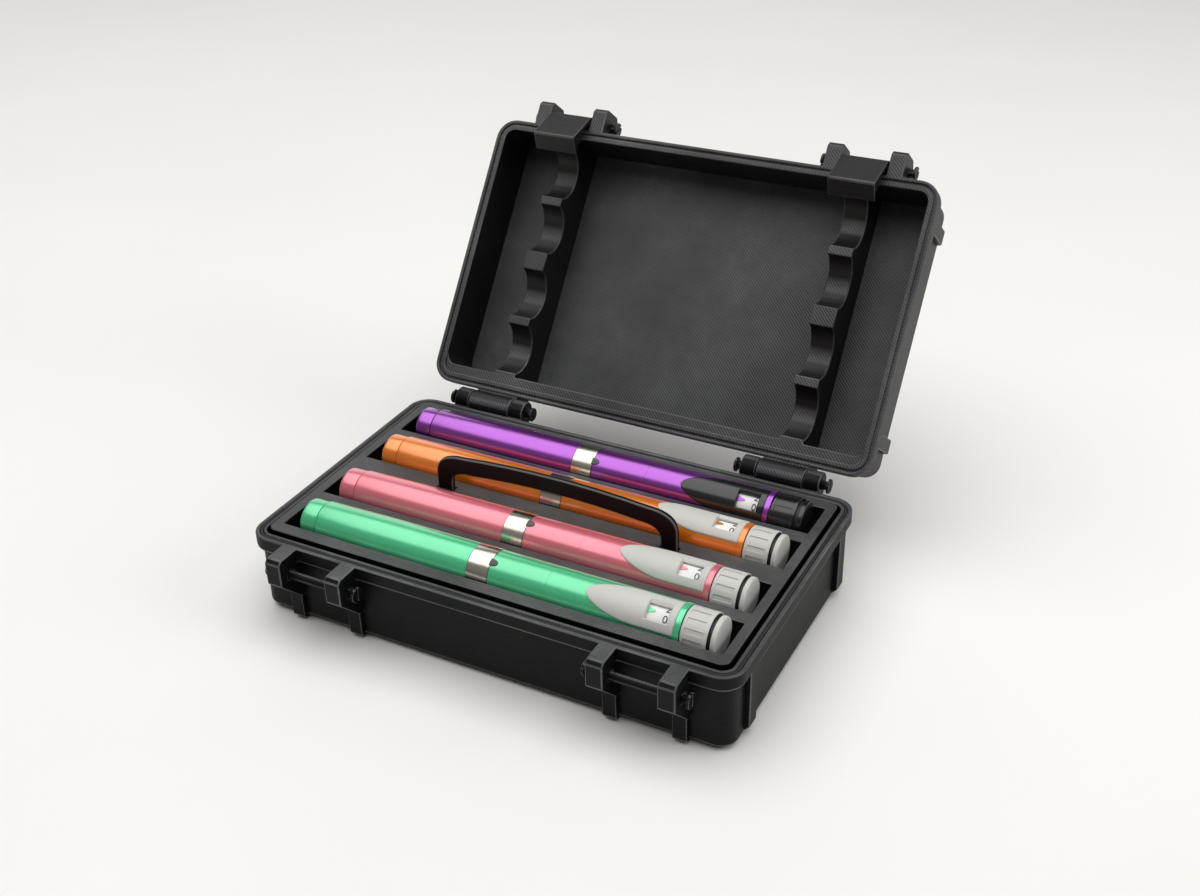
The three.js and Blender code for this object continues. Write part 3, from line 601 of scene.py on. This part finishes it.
def windowFrame(colour):
    # the four walls of the window, sloping in to a ledge that is widest at the back
    s, e, h = pen["windowStart"], pen["windowEnd"], pen["windowHalf"]
    lip = recess["lip"]
    ledge = rectangle(s + recess["capSide"], e - recess["dialSide"], -h + recess["front"], h - recess["back"])
    rings = np.stack([rectangle(s, e, -h, h), rectangle(s + lip, e - lip, -h + lip, h - lip), ledge, ledge])
    radius = np.array(recess["radii"])[:, None]
    points = wrapped(rings[..., 0], radius, np.arcsin(rings[..., 1] / pen["coverRadius"]))
    return gridMesh(f"{colour}_window_form", setInRow(points[::-1], colour), wrap=True)


pointer = {
    "from": 0.3, "length": 2.6, "half": 1.0, "narrowing": 0.75,
    "radius": 6.94, "bend": 6.9, "turn": 0.02,
}


def pointerPiece(colour):
    # a wedge from the window's edge, level with the drum: its half width falls evenly along its length
    u = np.linspace(0, 1, 6)[:, None]
    v = np.linspace(-1, 1, 5)[None]
    x = pen["windowStart"] + pointer["from"] + pointer["length"] * u
    half = (1 - pointer["narrowing"] * u) * pointer["half"]
    points = wrapped(x, pointer["radius"] + 0 * v, pointer["turn"] + v * half / pointer["bend"])
    return gridMesh(f"{colour}_pointer_form", setInRow(points, colour))


drum = {"bore": 6.0, "cuts": (0, 0.1, 0.1, 0, 0)}


def drumPiece(colour):
    profile = tubeProfile(*span(colour + "_dose_drum", 0), drum["bore"], pen["drumRadius"])
    return turnedPiece("drum", colour, profile, drum["cuts"])


numerals = {"count": 12, "interval": 2, "size": 3.5, "inset": 0.8, "firstTurn": -0.26, "proud": 0.1}


def numeralsPiece(colour):
    # even numbers round the drum, each laid flat and then bent on to it
    step = 2 * np.pi / numerals["count"]
    radius = pen["drumRadius"]
    rightEdge = pen["windowEnd"] - numerals["inset"]
    work = bmesh.new()
    for i in range(numerals["count"]):
        text = bpy.data.curves.new("numeral", "FONT")
        text.body = str(numerals["interval"] * i)
        text.size = numerals["size"]
        text.align_x = "RIGHT"
        text.align_y = "CENTER"
        holder = bpy.data.objects.new("numeral", text)
        scene.collection.objects.link(holder)
        flat = bpy.data.meshes.new_from_object(holder.evaluated_get(bpy.context.evaluated_depsgraph_get()))
        bpy.data.objects.remove(holder)
        co = np.zeros(len(flat.vertices) * 3)
        flat.vertices.foreach_get("co", co)
        x, y = co.reshape(-1, 3).T[:2]
        angle = numerals["firstTurn"] + step * i + y / radius
        bent = setInRow(wrapped(rightEdge + x, radius + numerals["proud"], angle), colour)
        flat.vertices.foreach_set("co", bent.ravel())
        work.from_mesh(flat)
    mesh = bpy.data.meshes.new(f"{colour}_numerals")
    work.to_mesh(mesh)
    work.free()
    return finishMesh(f"{colour}_numerals_form", mesh, 40)


dial = {
    "radius": 7.9, "bore": 6.0, "lipBore": 7.45, "wellBore": 7.0, "wellDepth": 3.9,
    "slots": 14, "slotHalfLength": 3.2, "slotHalfWidth": 0.85, "slotDepth": 0.3,
    "slotShift": -0.1, "slotRoom": 3.7,
    "frontCuts": (0, 0.35, 0), "backCuts": (0, 0.3, 0.1, 0, 0, 0, 0, 0),
    # grid lines along a slot and across one sector, closest where a slot's sides fall
    "rows": (-3.24, -3.18, -1.6, 0, 1.6, 3.18, 3.24),
    "columns": (-1.7, -1.3, -1.0, -0.88, -0.83, -0.3, 0.3, 0.83, 0.88, 1.0, 1.3),
}


def dialPiece(colour):
    # a ring with shallow grip slots round it: radius falls by the slot depth inside each slot
    s, e, r = span(colour + "_dial", 0)[0], pen["dialEnd"], dial["radius"]
    bore, lip, well = dial["bore"], dial["lipBore"], dial["wellBore"]
    lipFloor, wellFloor = e - pen["dialLip"], e - dial["wellDepth"]
    mid = 0.5 * (s + e) + dial["slotShift"]
    rows = mid + np.array(dial["rows"])
    front = [(s, bore), (s, r), (mid - dial["slotRoom"], r)]
    back = [(mid + dial["slotRoom"], r), (e, r), (e, lip), (lipFloor, lip), (lipFloor, well),
            (wellFloor, well), (wellFloor, bore), (s, bore)]
    outline = np.concatenate([
        softProfile(front, dial["frontCuts"]),
        np.stack([rows, np.full(len(rows), r)], -1),
        softProfile(back, dial["backCuts"])])
    sector = np.array(dial["columns"]) / r
    angles = (np.arange(dial["slots"])[:, None] * 2 * np.pi / dial["slots"] + sector[None]).ravel()
    offset = np.tile(sector * r, dial["slots"])
    onSkin = (np.abs(outline[:, 0] - mid) < dial["slotHalfLength"]) & (outline[:, 1] > lip)
    inSlot = onSkin[:, None] & (np.abs(offset) < dial["slotHalfWidth"])[None]
    points = wrapped(outline[:, :1], outline[:, 1:] - dial["slotDepth"] * inSlot, angles[None])
    return gridMesh(f"{colour}_dial_form", setInRow(points, colour), wrap=True)


gapRing = {"sunk": 1.9, "bore": 5.5, "radius": 6.85, "cuts": (0, 0.05, 0.05, 0, 0)}


def gapRingPiece(colour):
    start = pen["dialEnd"] - gapRing["sunk"]
    profile = tubeProfile(start, pen["buttonStart"], gapRing["bore"], gapRing["radius"])
    return turnedPiece("gap_ring", colour, profile, gapRing["cuts"])


crown = {"radius": 7.3, "shoulder": 0.25, "slope": 1.6, "rise": 0.06, "cuts": (0, 0.3, 0.55, 0.8, 0)}


def buttonPiece(colour):
    # a disc with a soft shoulder and a faint dome
    s, e, r = pen["buttonStart"], pen["buttonEnd"], crown["radius"]
    return turnedPiece("button", colour, [
        (s, 0), (s, r), (e - crown["shoulder"], r), (e, r - crown["slope"]), (e + crown["rise"], 0),
    ], crown["cuts"])


tab = {
    "overlap": 0.65, "length": 3.1, "half": 1.4, "foot": 7.95, "height": 0.37, "roll": 0.3, "bend": 8.2,
    # grid lines, closest towards the rim
    "endRows": (0.07, 0.04, 0.02, 0.008, 0.002, 0),
    "columns": (-1, -0.97, -0.9, -0.75, -0.4, 0, 0.4, 0.75, 0.9, 0.97, 1),
}


def tabPiece(colour):
    # a D-shaped tab from the ring on to the barrel: its half width is the root of 1 - u^3,
    # and its rim rolls down over a quarter circle
    u = np.concatenate([np.linspace(0, 0.9, 12), 1 - np.array(tab["endRows"])])[:, None]
    v = np.array(tab["columns"])[None]
    half = tab["half"] * np.sqrt(1 - u ** 3)
    toEnd = tab["length"] * np.minimum(1 - u, u)
    toRim = np.minimum(half * (1 - np.abs(v)), toEnd)
    rise = np.sqrt(1 - (1 - np.clip(toRim / tab["roll"], 0, 1)) ** 2)
    x = pen["ringEnd"] - tab["overlap"] + tab["length"] * u + 0 * v
    points = wrapped(x, tab["foot"] + tab["height"] * rise, v * half / tab["bend"])
    return gridMesh(f"{colour}_tab_form", setInRow(points, colour), sharp=60)


for colour in pen["rows"]:
    dyed = anodised(colour + "AnodisedAluminium", pen["colours"][colour], pen["metallic"][colour])
    trim = blackAbs if colour == "purple" else greyAbs
    trimSlot = "black_plastic" if colour == "purple" else "grey_plastic"
    body, dialBody, buttonBody = f"{colour}_pen", f"{colour}_dial", f"{colour}_button"
    dressed = [
        (capPiece(colour), dyed, f"{colour}_metal", body, f"{colour}_cap"),
        (ringPiece(colour), nickel, "ring_metal", body, f"{colour}_cap_ring"),
        (barrelPiece(colour), dyed, f"{colour}_metal", body, f"{colour}_barrel"),
        (coverPiece(colour), trim, trimSlot, body, f"{colour}_scale_cover"),
        (windowFrame(colour), trim, trimSlot, body, None),
        (pointerPiece(colour), dyed, f"{colour}_metal", body, None),
        (tabPiece(colour), tabGrey, "black_plastic", body, None),
        (drumPiece(colour), whiteAbs, "white_plastic", dialBody, f"{colour}_dose_drum"),
        (numeralsPiece(colour), numeralInk, "black_plastic", dialBody, None),
        (dialPiece(colour), trim, trimSlot, dialBody, f"{colour}_dial"),
        (gapRingPiece(colour), gapRubber, "black_plastic", buttonBody, None),
        (buttonPiece(colour), trim, trimSlot, buttonBody, f"{colour}_button"),
    ]
    for obj, material, slotName, rideBody, node in dressed:
        setMaterial(obj, material)
        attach(obj, rideBody)
        if node:
            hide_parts(node)
    setMaterial(nodes[f"{colour}_cartridge"], cartridgeGlass)
    setMaterial(nodes[f"{colour}_piston_rod"], blackAbs)
    setMaterial(nodes[f"{colour}_sleeve"], blackAbs)
    print(colour, "pen dressed")


# Floor, light and camera

stage = {
    "front": -1.6, "wall": 2.4, "halfWidth": 3.0, "bend": 0.6, "height": 2.2,
    "clouds": 6.0,          # to a metre of paper
}


def sweepPiece():
    # a level floor that turns up into a wall through a quarter circle
    turn = np.linspace(0, 0.5 * np.pi, 17)
    wall, bend = stage["wall"], stage["bend"]
    y = np.concatenate([[stage["front"], 0], wall + bend * np.sin(turn), [wall + bend]])
    z = np.concatenate([[0, 0], bend * (1 - np.cos(turn)), [stage["height"]]])
    x = np.linspace(-stage["halfWidth"], stage["halfWidth"], 3)
    points = np.stack(np.broadcast_arrays(x[None], y[:, None], z[:, None]), -1)
    return gridMesh("studio_sweep", np.array(points)[:, ::-1], sharp=60)


sweep = sweepPiece()
paper, tree, shader = newMaterial("palePaper")
coords = addNode(tree, "TexCoord")
fibre = addNode(tree, "TexNoise", {"Vector": coords.outputs["Object"], "Scale": stage["clouds"],
                                   "Detail": 3.0})
tone = addNode(tree, "Mix", {"Factor": fibre.outputs["Fac"], "A": linear("#efeeeb"), "B": linear("#e9e7e3")},
               data_type="RGBA")
tree.links.new(tone.outputs[2], shader.inputs["Base Color"])
shader.inputs["Roughness"].default_value = 0.9
setMaterial(sweep, paper)

world = bpy.data.worlds.new("studio")
scene.world = world
world.use_nodes = True
sky = world.node_tree.nodes["Background"]
sky.inputs["Color"].default_value = linear("#f4f4f2")
sky.inputs["Strength"].default_value = 0.12

lamps = {
    "topSoftbox": {"at": (-0.2, -0.08, 1.3), "size": (2.2, 1.76), "power": 25.6, "down": True},
    "backPanel": {"at": (-1.1, 2.1, 0.75), "size": (2.6, 1.4), "power": 10, "down": False},
    "rightSoftbox": {"at": (1.3, 0.3, 0.7), "size": (0.8, 0.8), "power": 7, "down": False},
    "frontFill": {"at": (-0.85, -1.4, 1.1), "size": (1.5, 1.5), "power": 0.8, "down": False},
}
partCentre = Vector((0, 0.02, 0.03))
for name, lamp in lamps.items():
    light = bpy.data.lights.new(name, "AREA")
    light.shape = "RECTANGLE"
    light.size, light.size_y = lamp["size"]
    light.energy = lamp["power"]
    holder = bpy.data.objects.new(name, light)
    scene.collection.objects.link(holder)
    holder.location = lamp["at"]
    holder.visible_camera = False
    toPart = partCentre - Vector(lamp["at"])
    holder.rotation_euler = (0, 0, 0) if lamp["down"] else toPart.to_track_quat("-Z", "Y").to_euler()

# the photo's camera, from the rims of the base and the lid, in degrees and millimetres
view = {
    "azimuth": 28.3152, "elevation": 30.7769, "roll": -1.5439,
    "aimRight": 16.55, "aimUp": 24.134, "distance": 520.68, "rimHeight": 31.125,
    "focalPixels": 1484.185, "frameWidth": 1200, "sensor": 36.0,
}


def placeCamera():
    # back from a point beside the rim's middle along the line of sight, then rolled a little about it
    az, el, roll = (math.radians(view[k]) for k in ("azimuth", "elevation", "roll"))
    back = np.array([math.sin(az) * math.cos(el), -math.cos(az) * math.cos(el), math.sin(el)])
    right = np.array([math.cos(az), math.sin(az), 0.0])
    up = np.cross(back, right)
    rim = np.array([0, 0, view["rimHeight"]])
    at = view["aimRight"] * right + view["aimUp"] * up + view["distance"] * back + rim
    rolledRight = math.cos(roll) * right + math.sin(roll) * up
    rolledUp = -math.sin(roll) * right + math.cos(roll) * up
    camera = bpy.data.cameras.new("photoCamera")
    camera.sensor_fit = "HORIZONTAL"
    camera.sensor_width = view["sensor"]
    camera.lens = view["focalPixels"] / view["frameWidth"] * view["sensor"]
    camera.clip_start = 0.02
    holder = bpy.data.objects.new("photoCamera", camera)
    scene.collection.objects.link(holder)
    matrix = np.eye(4)
    matrix[:3, :3] = np.stack([rolledRight, rolledUp, back], 1)
    matrix[:3, 3] = at * mm
    holder.matrix_world = Matrix(matrix.tolist())
    scene.camera = holder


placeCamera()
scene.view_settings.view_transform = "Standard"
print("stage, lamps and camera set")
